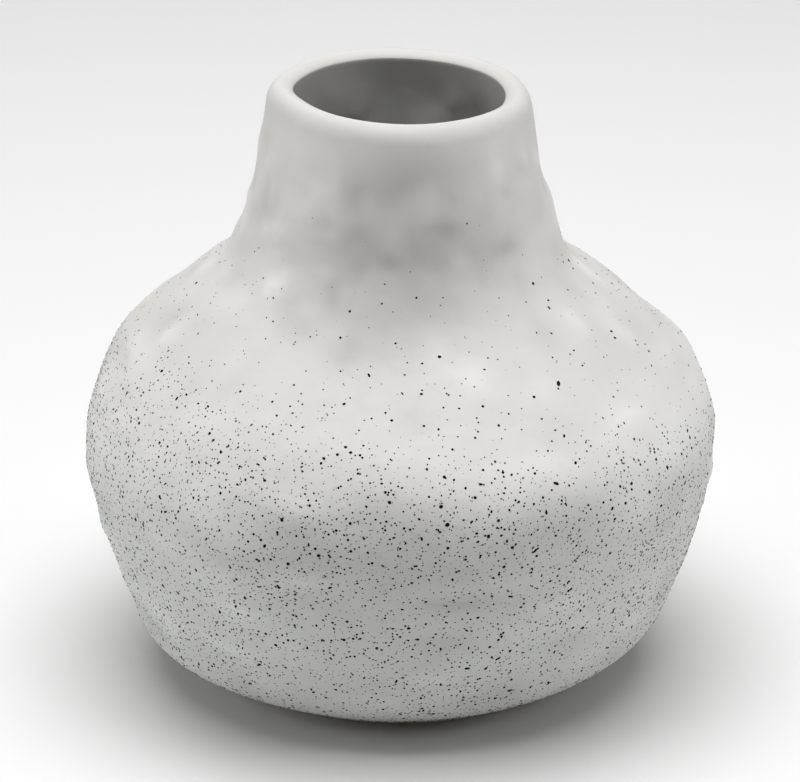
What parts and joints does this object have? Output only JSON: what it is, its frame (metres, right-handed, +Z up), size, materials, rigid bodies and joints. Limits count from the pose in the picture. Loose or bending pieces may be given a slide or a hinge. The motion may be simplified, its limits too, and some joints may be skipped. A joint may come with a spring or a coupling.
{
  "type": "vase",
  "caption": "Squat hand-pinched vase with a round belly, sloping shoulder and short wide neck with a rolled lip, on a recessed foot ring with felt pads.",
  "frame": {"origin": "centre of the footprint, on the surface the vase stands on", "axes": "+Z up along the axis the vase is turned about, -Y towards the viewer"},
  "size_m": [0.162, 0.162, 0.1551],
  "materials": {
    "fired_clay": "dry unglazed stoneware",
    "outer_glaze": "matt pale grey glaze with black spray speckles",
    "inner_glaze": "satin pale grey liner glaze",
    "felt": "dark pressed felt"
  },
  "bodies": {
    "root": {"vessel_body": "fired_clay", "outer_glaze": "outer_glaze", "inner_glaze": "inner_glaze", "foot_pad_1": "felt", "foot_pad_2": "felt", "foot_pad_3": "felt", "foot_pad_4": "felt"}
  },
  "joints": []
}
